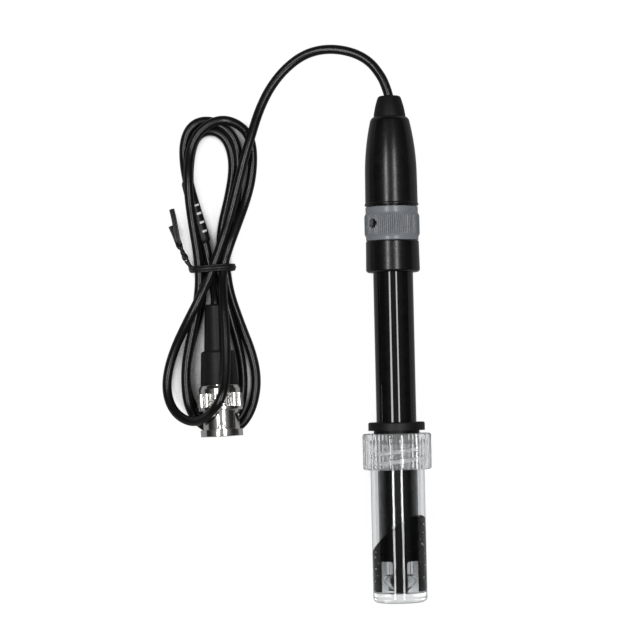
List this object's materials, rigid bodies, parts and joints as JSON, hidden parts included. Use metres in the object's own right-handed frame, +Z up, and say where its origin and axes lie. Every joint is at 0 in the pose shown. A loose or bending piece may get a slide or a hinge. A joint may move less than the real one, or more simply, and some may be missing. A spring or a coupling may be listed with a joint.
{
  "type": "ph electrode",
  "caption": "Combination pH electrode with a ribbed refill ring, a clear storage bottle on its tip and a tied cable that ends in a bayonet plug.",
  "frame": {"origin": "on the table, under the middle of the electrode with its bottle, the cable left out", "axes": "+Y along the electrode towards its cable end, +Z up, +X to the right seen from above"},
  "size_m": [0.0812, 0.1698, 0.0226],
  "materials": {
    "tube_black": "glossy black moulded tube",
    "head_black": "semi-gloss black moulding",
    "ring_grey": "satin blue-grey moulding",
    "clear_plastic": "clear moulding",
    "soft_black": "dull black rubber",
    "gasket_red": "soft ring",
    "glass": "thin blown glass",
    "plug_resin": "cast resin",
    "porous_white": "porous ceramic",
    "silver_wire": "drawn silver",
    "cable_jacket": "satin black cable jacket",
    "sleeve_black": "shrunk sleeve",
    "tie_black": "plastic over wire",
    "bright_nickel": "bright nickel plating",
    "white_insulator": "white insulator",
    "gold_pin": "plated contact"
  },
  "bodies": {
    "electrode": {"body_tube": "tube_black", "glass_electrode": "glass", "end_plug": "plug_resin", "junction": "porous_white", "top_plug": "plug_resin", "stem_stopper": "plug_resin", "measuring_wire": "silver_wire", "reference_wire": "silver_wire", "head_collar": "head_black", "ring_seal_lower": "soft_black", "ring_seal_upper": "soft_black", "head_cap": "head_black", "cable_boot": "soft_black", "plug_body": "bright_nickel", "plug_insulator": "white_insulator", "centre_pin": "gold_pin", "plug_gasket": "gasket_red", "wave_washer": "bright_nickel", "crimp_ferrule": "bright_nickel", "plug_boot": "soft_black", "cable_lead": "cable_jacket", "cable_tail": "cable_jacket", "cable_hank": "cable_jacket", "label_sleeve": "sleeve_black", "twist_tie": "tie_black"},
    "refill_ring": {"refill_ring": "ring_grey"},
    "seal": {"cap_seal": "soft_black"},
    "screw_cap": {"bottle_cap": "clear_plastic"},
    "bottle": {"bottle": "clear_plastic"},
    "plug_nut": {"coupling_nut": "bright_nickel", "retaining_ring": "bright_nickel"}
  },
  "joints": [
    {"name": "refill_ring_turn", "type": "hinge", "parent": "electrode", "child": "refill_ring", "pos_m": [0, 0.03743, 0.00837], "axis": [0, 0.9995, -0.0303], "continuous": true},
    {"name": "seal_slide", "type": "slide", "parent": "electrode", "child": "seal", "axis": [0, -0.9995, 0.0303], "range_m": [0, 0.052]},
    {"name": "cap_turn", "type": "hinge", "parent": "seal", "child": "screw_cap", "pos_m": [0, -0.03094, 0.01044], "axis": [0, 0.9995, -0.0303], "range_deg": [0, 360]},
    {"name": "bottle_unscrew", "type": "slide", "parent": "seal", "child": "bottle", "axis": [0, -0.9995, 0.0303], "range_m": [0, 0.00591]},
    {"name": "plug_nut_turn", "type": "hinge", "parent": "electrode", "child": "plug_nut", "pos_m": [-0.05264, -0.02031, 0.0093], "axis": [-0.0331, 0.9976, -0.061], "continuous": true}
  ],
  "couplings": [
    {"joint": "bottle_unscrew", "follows": "cap_turn", "m_per_rad": 0.00093901}
  ]
}
